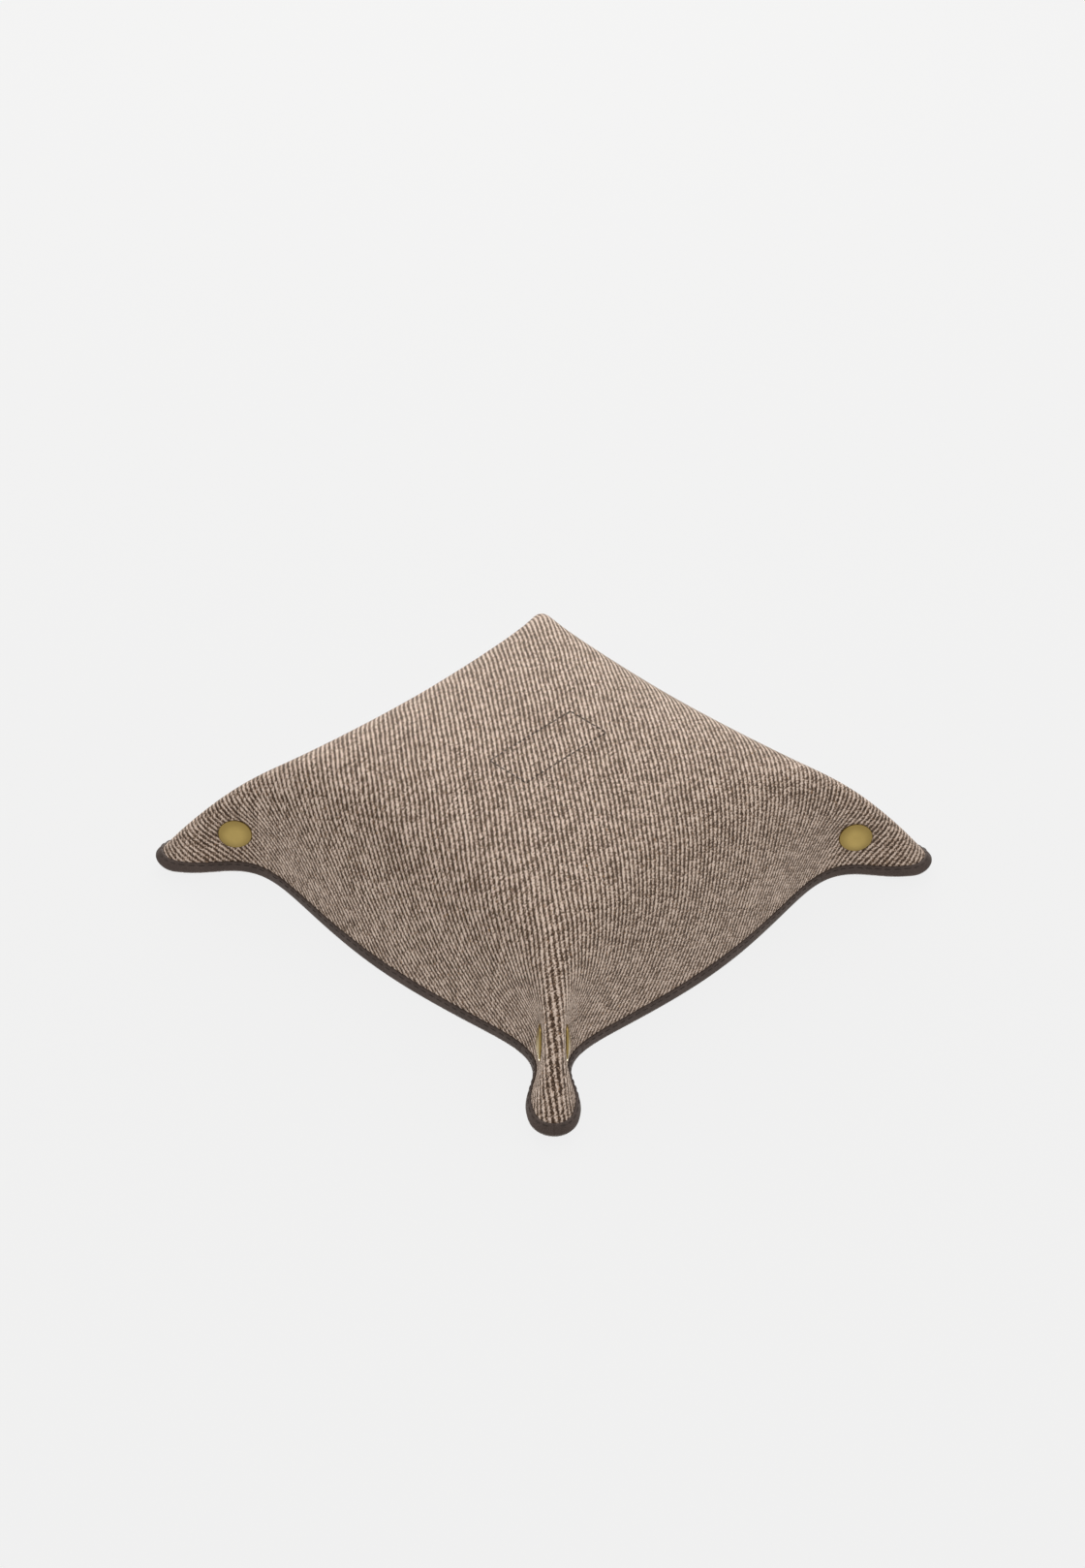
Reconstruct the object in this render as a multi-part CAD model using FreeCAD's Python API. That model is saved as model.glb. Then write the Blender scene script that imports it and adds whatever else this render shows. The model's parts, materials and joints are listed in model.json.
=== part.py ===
"""Snap-corner valet tray: one square sheet of cloth and leather, folded up and pinched at its corners.

The tray stands open side up on its base, with the origin under the middle of the base and +Z up.
Every panel is cut from the flat sheet, with the cloth's outer face at height zero, and then folded up
about its base fold, and each half of a corner once more about the fold beside it. Cloth gives on the
bias, so a pinched corner also swings a few degrees toward its wall within the sheet. Work is done on
the right-hand wall, which faces +X, and on the corner at its back end. The other walls and corners are
the same pieces turned about Z.
"""

import FreeCAD, Part
import math
import os
from FreeCAD import Placement, Rotation, Vector

# Sheet and folds
flat_side = 230.0
base_side = 116.0
corner_radius = 14.0
wall_angle = 70.0
bias_ease = 3.0
fold_gap = 0.4
corner_relief = 4.0

# Layers of the sheet
cover_thickness = 1.3
lining_thickness = 1.0
stiffener_thickness = 1.0
stiffener_margin = 13.0
stiffener_radius = 3.0

# Leather edge binding
binding_thickness = 0.8
binding_width = 4.5
binding_clearance = 0.05

# Bare leather patch sewn inside the base
patch_length = 45.0
patch_width = 21.5
patch_thickness = 1.2
patch_radius = 2.5

# Snap fasteners
snap_along = 49.6
snap_from_ridge = 10.6
snap_seat_depth = 0.3
snap_clearance = 0.2
cap_diameter = 12.5
cap_rim_height = 0.5
cap_dome_height = 1.7
post_diameter = 3.4
post_hole_clearance = 0.15
seat_clearance = 0.15
socket_diameter = 10.5
socket_height = 2.4
socket_flange_height = 0.7
socket_barrel_diameter = 8.2
socket_bore_diameter = 5.8
socket_bore_depth = 1.8
socket_edge_radius = 0.5
stud_flange_diameter = 9.5
stud_flange_height = 0.8
stud_neck_diameter = 3.8
stud_head_diameter = 4.6
stud_neck_height = 0.5
stud_head_height = 0.5
stud_tip_height = 0.5

# Cuts run this far past what they cut
overrun = 6.0

# Sizes that follow
half_base = base_side / 2
wall_length = (flat_side - base_side) / 2
cloth_side = flat_side - 2 * binding_thickness
sheet_thickness = cover_thickness + lining_thickness
base_lining_foot = cover_thickness + stiffener_thickness
base_top = base_lining_foot + lining_thickness
layer_bottom = -binding_thickness
layer_top = max(sheet_thickness, base_top) + binding_thickness
valley_height = sheet_thickness + binding_thickness
ridge_radius = sheet_thickness + binding_thickness
half_gap = fold_gap / 2
snap_stack = socket_height + stud_flange_height + snap_clearance

wall_names = ["right", "back", "left", "front"]
quarter_turn = 90.0
up = Vector(0, 0, 1)
diagonal = Vector(1, 1, 0).normalize()
across = Vector(1, -1, 0).normalize()
base_corner = Vector(half_base, half_base, 0)


def direction(angle):
    """Unit vector in the sheet's plane at an angle in degrees from +X."""
    return Vector(math.cos(math.radians(angle)), math.sin(math.radians(angle)), 0)


def turn_about(point, axis, angle):
    """Rotation by an angle in degrees about the line through a point."""
    return Placement(Vector(), Rotation(axis, angle), point)


def moved(shape, placement):
    """Copy of a shape carried by a placement."""
    copy = shape.copy()
    copy.Placement = placement.multiply(copy.Placement)
    return copy


def bisect(gap_at, low, high):
    """Value between low and high at which gap_at is zero."""
    low_is_positive = gap_at(low) > 0
    for _ in range(50):
        middle = (low + high) / 2
        if (gap_at(middle) > 0) == low_is_positive:
            low = middle
        else:
            high = middle
    return middle


wall_fold = turn_about(Vector(half_base, 0, 0), Vector(0, 1, 0), -wall_angle)


def ear_fold(valley_angle, pinch_angle):
    """Carries half a corner from the flat sheet: eased, pinched at the valley, then up with the wall."""
    eased = turn_about(base_corner, up, -bias_ease)
    valley = turn_about(base_corner + up * valley_height, direction(valley_angle), -pinch_angle)
    return wall_fold.multiply(valley).multiply(eased)


def from_diagonal(flat_point, valley_angle, pinch_angle):
    """Distance of a folded point from the upright plane through the corner's diagonal."""
    return ear_fold(valley_angle, pinch_angle).multVec(flat_point).dot(across)


# The snap's middle and the ridge's outer end, on the lining's face of the flat sheet
snap_flat = base_corner + diagonal * snap_along + across * snap_from_ridge + up * sheet_thickness
ridge_length = math.sqrt(2) * wall_length - (math.sqrt(2) - 1) * corner_radius
ridge_end = base_corner + diagonal * ridge_length + up * sheet_thickness


def pinch_for(valley_angle):
    """Pinch at which the two lining faces stand one closed snap apart at the snap's middle."""
    def gap_at(pinch):
        return from_diagonal(snap_flat, valley_angle, pinch) - snap_stack / 2

    return bisect(gap_at, 0, quarter_turn)


def ridge_spread(valley_angle):
    """Distance left between the ridge's outer end and the diagonal, past half the fold gap."""
    return from_diagonal(ridge_end, valley_angle, pinch_for(valley_angle)) - half_gap


# The valley fold lies where the two halves of the ridge meet all the way out to the tip. A stiff sheet
# pinched quite shut has it at the first angle, and room for the snap and give on the bias bring it lower.
shut_valley = math.degrees(math.atan(math.cos(math.radians(wall_angle))))
valley_angle = bisect(ridge_spread, shut_valley - quarter_turn / 2, shut_valley)
pinch_angle = pinch_for(valley_angle)
corner_fold = ear_fold(valley_angle, pinch_angle)


class Edge:
    """A line of the sheet with a panel on its left, set back by an amount that grows with height."""

    def __init__(self, point, angle, setback=0.0, slope=0.0, at_height=0.0):
        self.point = point
        self.along = direction(angle)
        self.inward = direction(angle + quarter_turn)
        self.setback = setback
        self.slope = slope
        self.at_height = at_height

    def at(self, height):
        """Point on the set-back line at a height."""
        back = self.setback + self.slope * (height - self.at_height)
        return self.point + self.inward * back + up * height


def crossing(first, second, height):
    """Point where two set-back lines cross at a height."""
    start = first.at(height)
    reach = second.at(height) - start
    share = reach.dot(second.inward) / first.along.dot(second.inward)
    return start + first.along * share


def panel_space(edges):
    """Solid between a panel's set-back lines through all the layers of the sheet."""
    outlines = []
    for height in (layer_bottom, layer_top):
        corners = [crossing(edges[i - 1], edges[i], height) for i in range(len(edges))]
        outlines.append(Part.makePolygon(corners + corners[:1]))
    return Part.makeLoft(outlines, True, True)


def rounded_plate(length, width, radius, bottom, top):
    """Upright plate about the origin with rounded corners."""
    plate = Part.makeBox(length, width, top - bottom, Vector(-length / 2, -width / 2, bottom))
    upright = [edge for edge in plate.Edges if edge.Vertexes[0].Z != edge.Vertexes[1].Z]
    return plate.makeFillet(radius, upright)


def square_plate(side, radius, bottom, top):
    return rounded_plate(side, side, radius, bottom, top)


# Flat sheets, before they are divided at the folds
cloth_radius = corner_radius - binding_thickness
cover_sheet = square_plate(cloth_side, cloth_radius, 0, cover_thickness)
lining_sheet = square_plate(cloth_side, cloth_radius, cover_thickness, sheet_thickness)
binding_top = sheet_thickness + binding_thickness
mouth_side = flat_side - 2 * binding_width
binding_outside = square_plate(flat_side, corner_radius, -binding_thickness, binding_top)
binding_mouth = square_plate(mouth_side, corner_radius - binding_width, layer_bottom, layer_top)
binding_slot = square_plate(cloth_side + binding_clearance, cloth_radius, 0, sheet_thickness)
binding_strip = binding_outside.cut(binding_mouth).cut(binding_slot)

# Panels of the flat sheet, with mitres on the inner side of each fold
base_slope = math.tan(math.radians(wall_angle / 2))
valley_slope = -math.tan(math.radians(pinch_angle / 2))
rim = Vector(half_base + wall_length + overrun, 0, 0)
base_edge = Edge(Vector(half_base, 0, 0), -quarter_turn, half_gap, base_slope)
wall_valley_back = Edge(base_corner, valley_angle + 2 * quarter_turn, half_gap, valley_slope, valley_height)
front_corner = Vector(half_base, -half_base, 0)
wall_valley_front = Edge(front_corner, -valley_angle, half_gap, valley_slope, valley_height)
wall_space = panel_space([base_edge, wall_valley_front, Edge(rim, quarter_turn), wall_valley_back])

ear_valley = Edge(base_corner, valley_angle + bias_ease, half_gap, valley_slope, valley_height)
ear_ridge = Edge(base_corner, quarter_turn / 2 + 2 * quarter_turn, half_gap)
ear_root = Edge(base_corner + diagonal * corner_relief, -quarter_turn / 2)
ear_space = panel_space([ear_valley, Edge(rim, quarter_turn), ear_ridge, ear_root])

base_edges = []
for turn in range(4):
    middle = direction(turn * quarter_turn) * half_base
    base_edges.append(Edge(middle, (turn + 1) * quarter_turn, half_gap, base_slope))
base_space = panel_space(base_edges)


def ridge_round():
    """Waste outside the rounded outer corner of the ridge, along the diagonal."""
    corner = base_corner + across * half_gap + up * layer_bottom
    shoulder = corner + across * ridge_radius
    top = corner + up * ridge_radius
    centre = shoulder + up * ridge_radius
    middle = centre - (across + up).normalize() * ridge_radius
    arc = Part.Arc(shoulder, middle, top).toShape()
    outline = Part.Wire([Part.makeLine(corner, shoulder), arc, Part.makeLine(top, corner)])
    return Part.Face(outline).extrude(diagonal * (ridge_length + overrun))


def beside_diagonal():
    """Space on the right-hand wall's side of the corner's diagonal, clear by half the fold gap."""
    reach = flat_side
    space = Part.makeBox(reach, 2 * reach, 2 * reach, Vector(half_gap, -reach, -reach))
    facing = Rotation(Vector(1, 0, 0), across)
    return moved(space, Placement(Vector(), facing))


def turned(shape, step):
    """Copy of a shape of the right-hand wall on the wall that many quarter turns further round."""
    return moved(shape, turn_about(Vector(), up, step * quarter_turn))


def mirrored(shape):
    """Copy of a shape at the right-hand wall's front end."""
    return shape.mirror(Vector(), Vector(0, 1, 0))


# Snap fasteners: turned profiles about an axis square to the diagonal plane, socket on the near side
snap_folded = corner_fold.multVec(snap_flat)
snap_middle = snap_folded - across * snap_folded.dot(across)
lining_face = snap_stack / 2
cover_face = lining_face + sheet_thickness
cap_seat = cover_face - snap_seat_depth


def revolved(profile):
    """Solid turned from (radius, distance along the axis) points about the snap's axis."""
    points = [Vector(radius, 0, along) for radius, along in profile]
    outline = Part.makePolygon(points + points[:1])
    solid = Part.Face(outline).revolve(Vector(), up, 4 * quarter_turn)
    return moved(solid, Placement(snap_middle, Rotation(up, across)))


def disc(diameter, start, end):
    return revolved([(0, start), (diameter / 2, start), (diameter / 2, end), (0, end)])


def cap():
    """Domed cap on the cloth, with the post that holds it through the sheet."""
    radius = cap_diameter / 2
    rim_top = cap_seat + cap_rim_height
    rise = cap_dome_height - cap_rim_height
    sphere_radius = (radius ** 2 + rise ** 2) / (2 * rise)
    sphere_middle = rim_top + rise - sphere_radius
    rim = disc(cap_diameter, cap_seat, rim_top)
    centre = snap_middle + across * sphere_middle
    sphere = Part.makeSphere(sphere_radius, centre)
    dome = sphere.common(disc(cap_diameter, rim_top, rim_top + rise + overrun))
    post = disc(post_diameter, lining_face, cap_seat)
    return rim.fuse([dome, post]).removeSplitter()


def socket():
    """Flanged ring on the lining, with the bore that takes the stud."""
    free_face = lining_face - socket_height
    flange_face = lining_face - socket_flange_height
    flange = disc(socket_diameter, flange_face, lining_face)
    barrel = disc(socket_barrel_diameter, free_face, flange_face)
    bore = disc(socket_bore_diameter, free_face - overrun, free_face + socket_bore_depth)
    ring = flange.fuse(barrel).removeSplitter()
    rim_edges = [edge for edge in ring.Edges if abs(edge.CenterOfMass.dot(across) - free_face) < half_gap]
    return ring.makeFillet(socket_edge_radius, rim_edges).cut(bore)


def stud():
    """Flange on the lining of the other half, with a head that is wider than its neck."""
    foot = -lining_face
    face = foot + stud_flange_height
    neck_end = face + stud_neck_height
    widest = neck_end + stud_head_height
    tip = widest + stud_tip_height
    neck_radius = stud_neck_diameter / 2
    head_radius = stud_head_diameter / 2
    flange_radius = stud_flange_diameter / 2
    return revolved([(0, foot), (flange_radius, foot), (flange_radius, face), (neck_radius, face),
                     (neck_radius, neck_end), (head_radius, widest), (neck_radius, tip), (0, tip)])


def facing_back(shape):
    """The same snap piece on the other side of the diagonal plane."""
    return shape.mirror(Vector(), across)


def seats(inner_diameter):
    """Holes pressed into half a corner by its cap, its post and the snap half on its lining."""
    clearance = 2 * seat_clearance
    cap_hole = disc(cap_diameter + clearance, cap_seat, cap_seat + overrun)
    post_hole = disc(post_diameter + 2 * post_hole_clearance, -overrun, cap_seat + overrun)
    inner_hole = disc(inner_diameter + clearance, lining_face - overrun, lining_face)
    return [cap_hole, post_hole, inner_hole]


def folded_wall(sheet):
    """Wall cut from a flat sheet, folded up and kept clear of its neighbours at both ends."""
    wall = moved(sheet.common(wall_space), wall_fold)
    return wall.common(beside_diagonal()).common(mirrored(beside_diagonal()))


def half_corner(sheet):
    """Half a pinched corner cut from a flat sheet, rounded at the ridge, clear of its other half."""
    flat = sheet.common(ear_space).cut(ridge_round())
    return moved(flat, corner_fold).common(beside_diagonal())


sheets = {"cover": cover_sheet, "lining": lining_sheet, "binding": binding_strip}
nodes = {}

# Base
base_cover = cover_sheet.common(base_space)
base_lining = moved(lining_sheet, Placement(up * stiffener_thickness, Rotation())).common(base_space)
stiffener_side = base_side - 2 * stiffener_margin
nodes["base_cover"] = base_cover
nodes["base_stiffener"] = square_plate(stiffener_side, stiffener_radius, cover_thickness, base_lining_foot)
nodes["base_lining"] = base_lining
patch_top = base_top + patch_thickness
nodes["inside_patch"] = rounded_plate(patch_length, patch_width, patch_radius, base_top, patch_top)

# Walls and the two halves of each corner
socket_seats = seats(socket_diameter)
stud_seats = seats(stud_flange_diameter)
for layer, sheet in sheets.items():
    wall = folded_wall(sheet)
    half = half_corner(sheet)
    socket_half = half.cut(socket_seats)
    stud_half = facing_back(half.cut(stud_seats))
    for step, name in enumerate(wall_names):
        following = wall_names[(step + 1) % len(wall_names)]
        nodes[f"{name}_wall_{layer}"] = turned(wall, step)
        nodes[f"{name}_wall_{following}_ear_{layer}"] = turned(socket_half, step)
        nodes[f"{following}_wall_{name}_ear_{layer}"] = turned(stud_half, step)

# Snaps, one at each corner
snap_pieces = {"socket_cap": cap(), "socket": socket(), "stud": stud(), "stud_cap": facing_back(cap())}
for step, name in enumerate(wall_names):
    following = wall_names[(step + 1) % len(wall_names)]
    for piece, shape in snap_pieces.items():
        nodes[f"{name}_{following}_snap_{piece}"] = turned(shape, step)

os.makedirs("parts", exist_ok=True)
for node, shape in nodes.items():
    shape.exportStep(f"parts/{node}.step")

print(f"valley {valley_angle:.3f} deg, pinch {pinch_angle:.3f} deg, snap middle {snap_middle}")
print(f"{len(nodes)} nodes, {sum(len(shape.Solids) for shape in nodes.values())} solids")
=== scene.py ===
import json
import math

import bmesh
import bpy
import numpy as np
from mathutils import Matrix, Vector


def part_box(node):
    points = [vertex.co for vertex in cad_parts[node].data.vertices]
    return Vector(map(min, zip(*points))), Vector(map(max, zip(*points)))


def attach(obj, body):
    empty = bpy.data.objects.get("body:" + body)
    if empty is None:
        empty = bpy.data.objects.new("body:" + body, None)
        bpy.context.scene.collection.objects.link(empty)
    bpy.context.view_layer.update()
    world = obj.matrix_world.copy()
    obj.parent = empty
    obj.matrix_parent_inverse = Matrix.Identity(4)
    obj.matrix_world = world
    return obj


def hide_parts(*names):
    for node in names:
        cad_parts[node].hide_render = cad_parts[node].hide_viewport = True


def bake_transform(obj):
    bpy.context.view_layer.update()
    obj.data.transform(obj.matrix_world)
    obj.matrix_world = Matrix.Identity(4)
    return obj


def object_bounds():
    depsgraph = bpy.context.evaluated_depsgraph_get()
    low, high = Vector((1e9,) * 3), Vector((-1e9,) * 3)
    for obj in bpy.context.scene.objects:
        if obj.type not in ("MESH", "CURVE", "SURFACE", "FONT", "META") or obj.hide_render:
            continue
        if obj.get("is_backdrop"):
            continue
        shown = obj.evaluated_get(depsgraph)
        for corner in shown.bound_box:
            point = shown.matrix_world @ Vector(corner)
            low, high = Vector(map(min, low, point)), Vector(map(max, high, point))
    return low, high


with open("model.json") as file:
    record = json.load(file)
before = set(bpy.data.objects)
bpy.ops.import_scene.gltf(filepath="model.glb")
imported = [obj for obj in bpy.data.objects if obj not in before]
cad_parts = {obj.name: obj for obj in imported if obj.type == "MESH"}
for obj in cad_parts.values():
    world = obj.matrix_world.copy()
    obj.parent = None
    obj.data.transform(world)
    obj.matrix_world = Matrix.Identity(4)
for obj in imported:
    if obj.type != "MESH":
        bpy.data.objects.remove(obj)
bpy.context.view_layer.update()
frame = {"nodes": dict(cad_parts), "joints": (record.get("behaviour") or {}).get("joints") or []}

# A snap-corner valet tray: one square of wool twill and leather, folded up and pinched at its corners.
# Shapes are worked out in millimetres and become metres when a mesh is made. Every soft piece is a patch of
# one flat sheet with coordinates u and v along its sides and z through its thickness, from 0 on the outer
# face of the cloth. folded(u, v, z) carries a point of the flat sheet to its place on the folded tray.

MM = 0.001
WALLS = ["right", "back", "left", "front"]
FACES = ((-1, "outer"), (1, "inner"))
root_two = math.sqrt(2)
diagonal_angle = math.radians(45)

# Sheet
half_flat = 115.0
corner_radius = 14.0
cover_thickness = 1.3
lining_thickness = 1.0
sheet_thickness = cover_thickness + lining_thickness
layer_gap = 0.02
stiffener_thickness = 1.0
stiffener_half = 45.0
stiffener_past = 2.5
stiffener_ease = 3.0
patch_length = 45.0
patch_width = 21.5
patch_radius = 2.5
patch_thickness = 1.2
binding_thickness = 0.8
binding_width = 4.5
cloth_half = half_flat - binding_thickness
cloth_radius = corner_radius - binding_thickness
rim_straight = half_flat - corner_radius

# Folds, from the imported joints
joints = {joint["name"]: joint for joint in frame["joints"]}
wall_hinge = joints["right_wall_fold"]
ear_hinge = joints["right_wall_back_ear_fold"]
half_base = wall_hinge["pos_m"][0] / MM
wall_angle = math.radians(wall_hinge["range_deg"][1])
ear_angle = math.radians(ear_hinge["range_deg"][1])
panel_cut = math.radians(6.5)
wall_foot = 46.0
wall_bend_start = wall_foot + 1
valley_start = math.radians(4)
valley_end = math.radians(18)
valley_reach = 44.0
valley_sides = np.array([0.3, 14.0])

# Elastic sheet: stiffness in units of the stretch, and the flat place of the snaps
bend_stiffness = 1.5
bias_ratio = 0.5
stiff_half = 58.0
stiff_ratio = 3.0
ridge_ratio = 0.4
ridge_width = 3.0
ridge_start = 85.0
least_gap = 0.05
snap_u = 98.0
snap_v = 79.5
snap_disc = 5.0
snap_hold = 2.0
snap_from_plane = 2.85

# Simulation: points along a side and rounds of steps of each grid, and the rows past its borders
SIMULATION_GRIDS = ((24, 500), (47, 700), (70, 1100))
border_rows = 3

# Hidden leaves of the corners: start on the diagonal, length, half widths, and depth in a layer
base_leaf_start = 42.0
base_leaf_length = 50.0
base_leaf_half = 14.0
base_leaf_depths = (0.4, 0.15)
ear_leaf_start = 49.0
ear_leaf_length = 55.0
ear_leaf_halves = (11.0, 4.0)
ear_leaf_levels = {1: 0.15, -1: 0.5}
ear_leaf_thickness = 0.2


def smooth(x):
    """Rises from 0 to 1 as x does, level at both ends: three x squared less two x cubed."""
    x = np.clip(x, 0, 1)
    return x * x * (3 - 2 * x)


def turn(points, pivot, axis, angle):
    """Points turned about a line: the part across the axis swings by the angle, the part along it stays."""
    axis = np.asarray(axis, float) / np.linalg.norm(axis)
    angle = np.asarray(angle, float)[..., None]
    arm = points - pivot
    along = (arm @ axis)[..., None] * axis
    swung = (arm - along) * np.cos(angle) + np.cross(axis, arm) * np.sin(angle)
    return pivot + along + swung


wall_pivot = np.array(wall_hinge["pos_m"]) / MM
wall_axis = np.array(wall_hinge["axis"])
ear_pivot = turn(np.array(ear_hinge["pos_m"]) / MM, wall_pivot, wall_axis, wall_angle)
ear_axis = turn(np.array(ear_hinge["axis"]), np.zeros(3), wall_axis, wall_angle)


def quarter(u, v, steps):
    """Flat point turned by a number of quarter turns about the middle of the sheet."""
    cosine = np.cos(steps * np.pi / 2).round()
    sine = np.sin(steps * np.pi / 2).round()
    return cosine * u - sine * v, sine * u + cosine * v


# Simulated sheet

def panel_fold(u, v):
    """The sheet folded as flat panels, from which the simulation starts.

    The quarter is mirrored in its diagonal. A half corner turns about the valley by the pinch times a share
    that rises with the angle at the base corner, then the wall turns up about the base fold.
    """
    tiny = 1e-6
    big, small = np.maximum(u, v), np.minimum(u, v)
    angle = np.arctan2(small - half_base, np.maximum(big - half_base, tiny))
    on_base = big < half_base
    share = np.where(on_base, 0, smooth((angle - valley_start) / (valley_end - valley_start)))
    flat = np.stack([big, small, np.full_like(big, sheet_thickness / 2)], -1)
    place = turn(flat, ear_pivot, ear_axis, -ear_angle * share)
    place = turn(place, wall_pivot, wall_axis, np.where(on_base, 0, -wall_angle))
    middle = place[..., :2].mean(-1, keepdims=True)
    place[..., :2] = np.where((u == v)[..., None], middle, place[..., :2])
    return np.where((v > u)[..., None], place[..., [1, 0, 2]], place)


def elastic(count, outline_slack=0.3, outside_weight=0.01, touch_share=0.9):
    """Energy of a quarter of the sheet, as a function that also gives its slope, and the places at its start.

    Springs along u, along v and along both diagonals of each cell resist stretch by the square of their
    strain. Bending is resisted by the squares of the second differences along u and v, also across the mirror
    lines, and of the twist. The base is stiffer than the walls and the ridge softer. Discs under the snap are
    drawn to their distance from the diagonal plane, and the halves of the corner keep apart. Points outside
    the outline hardly count.
    """
    cell = half_flat / (count - 1)
    line = np.arange(count) * cell
    u, v = np.meshgrid(line, line, indexing="ij")
    beyond = np.hypot(np.maximum(u - rim_straight, 0), np.maximum(v - rim_straight, 0))
    weight = np.where(beyond <= corner_radius + outline_slack * cell, 1.0, outside_weight)
    off_ridge = (u - v) / root_two
    side = np.sign(off_ridge)
    on_ridge = np.exp(-((off_ridge / ridge_width) ** 2)) * (u + v > ridge_start * root_two)
    bend = bend_stiffness * np.where(np.maximum(u, v) <= stiff_half, stiff_ratio, 1) * weight
    bend = bend * (1 - (1 - ridge_ratio) * on_ridge) / cell ** 2
    near_edge = np.minimum(half_flat - u, half_flat - v) < binding_width
    bound = near_edge | (beyond > corner_radius - binding_width)
    apart = sheet_thickness / 2 + np.where(bound, binding_thickness, 0)
    apart = np.minimum(apart, touch_share * np.abs(off_ridge))
    disc_away = np.minimum(np.hypot(u - snap_u, v - snap_v), np.hypot(u - snap_v, v - snap_u))
    snap = snap_hold * cell ** 2 * np.clip((snap_disc + cell / 2 - disc_away) / cell, 0, 1)
    touch = cell ** 2 * (side != 0)
    free = np.ones((count, count, 3))
    free[0, :, 0] = free[:, 0, 1] = free[0, 0, 2] = 0
    every, low, high = slice(None), slice(None, -1), slice(1, None)
    pairs = (((low, every), (high, every), cell, 1.0), ((every, low), (every, high), cell, 1.0),
             ((low, low), (high, high), cell * root_two, bias_ratio),
             ((high, low), (low, high), cell * root_two, bias_ratio))
    springs = []
    for first, second, length, ratio in pairs:
        stiffness = ratio * cell ** 2 * np.minimum(weight[first], weight[second])
        springs.append((first, second, length, stiffness))
    bends = []
    for along in (0, 1):
        cuts = (slice(None, -2), slice(1, -1), slice(2, None))
        first, middle, last = [tuple(cut if axis == along else every for axis in (0, 1)) for cut in cuts]
        least = np.minimum.reduce([bend[first], bend[last], bend[middle]])
        bends.append((((first, 1), (middle, -2), (last, 1)), least))
    twist = (((high, high), 1), ((high, low), -1), ((low, high), -1), ((low, low), 1))
    bends.append((twist, 2 * np.minimum.reduce([bend[at] for at, _ in twist])))
    for inner, edge, across in ((1, 0, np.array([0, 2, 2])), ((every, 1), (every, 0), np.array([2, 0, 2]))):
        bends.append((((inner, across), (edge, -across)), 0.5 * bend[0]))

    def energy(row_of_places):
        places = row_of_places.reshape(count, count, 3)
        slope = np.zeros_like(places)
        total = 0.0
        for first, second, length, stiffness in springs:
            edge = places[second] - places[first]
            size = np.sqrt((edge * edge).sum(-1))
            strain = size / length - 1
            total += 0.5 * (stiffness * strain * strain).sum()
            pull = (stiffness * strain / (length * size))[..., None] * edge
            slope[second] += pull
            slope[first] -= pull
        for terms, stiffness in bends:
            bent = sum(share * places[at] for at, share in terms)
            pull = stiffness[..., None] * bent
            total += 0.5 * (pull * bent).sum()
            for at, share in terms:
                slope[at] += share * pull
        from_plane = (places[..., 0] - places[..., 1]) / root_two
        off = from_plane - side * snap_from_plane
        short = np.maximum(apart - from_plane * side, 0)
        total += 0.5 * (snap * off * off).sum() + 0.5 * (touch * short * short).sum()
        push = (snap * off - touch * short * side) / root_two
        slope[..., 0] += push
        slope[..., 1] -= push
        return total, (slope * free).ravel()

    return energy, panel_fold(u, v) * free


def settle(energy, places, rounds, memory=25, first_move=0.05, fall_share=1e-4, shortest=1e-3, least=1e-10):
    """Moves the points downhill until the energy rests: quasi-Newton steps that remember the last few.

    A step is halved until the energy falls by a small share of what the slope promises.
    """
    value, slope = energy(places)
    past = []
    for _ in range(rounds):
        step = slope.copy()
        shares = []
        for moved, change, scale in reversed(past):
            shares.append(scale * moved.dot(step))
            step -= shares[-1] * change
        if past:
            moved, change, scale = past[-1]
            step *= 1 / (scale * change.dot(change))
        else:
            step *= first_move / np.abs(slope).max()
        for (moved, change, scale), share in zip(past, reversed(shares)):
            step += moved * (share - scale * change.dot(step))
        reach = 1.0
        fall = slope.dot(step)
        trial = places - step
        new_value, new_slope = energy(trial)
        while new_value > value - fall_share * reach * fall and reach > shortest:
            reach /= 2
            trial = places - reach * step
            new_value, new_slope = energy(trial)
        moved, change = trial - places, new_slope - slope
        if moved.dot(change) > least * change.dot(change) ** 0.5:
            past = past[1 - memory:] + [(moved, change, 1 / moved.dot(change))]
        else:
            past = []
        places, value, slope = trial, new_value, new_slope
    return places


def cubic_weights(at, count):
    """The point before a place on a line of points, and the shares of the four nearest in a cubic."""
    before = np.clip(np.floor(at).astype(int), 1, count - 3)
    past = at - before
    outer = [-past * (1 - past) ** 2 / 2, past ** 2 * (past - 1) / 2]
    inner = [1 - 2.5 * past ** 2 + 1.5 * past ** 3, past * (1 + 4 * past - 3 * past ** 2) / 2]
    return before, np.stack([outer[0], *inner, outer[1]])


def between(face, at_u, at_v):
    """A surface between its grid points: cubic through the four nearest points along u and along v."""
    row, row_shares = cubic_weights(at_u, face.shape[0])
    column, column_shares = cubic_weights(at_v, face.shape[1])
    total = 0
    for a in range(4):
        for b in range(4):
            total = total + (row_shares[a] * column_shares[b])[..., None] * face[row + a - 1, column + b - 1]
    return total


def edged(face):
    """A grid of places with a few more rows past each border: twice the border less the mirrored row."""
    more = (border_rows, border_rows)
    return np.pad(face, (more, more, (0, 0)), mode="reflect", reflect_type="odd")


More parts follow.
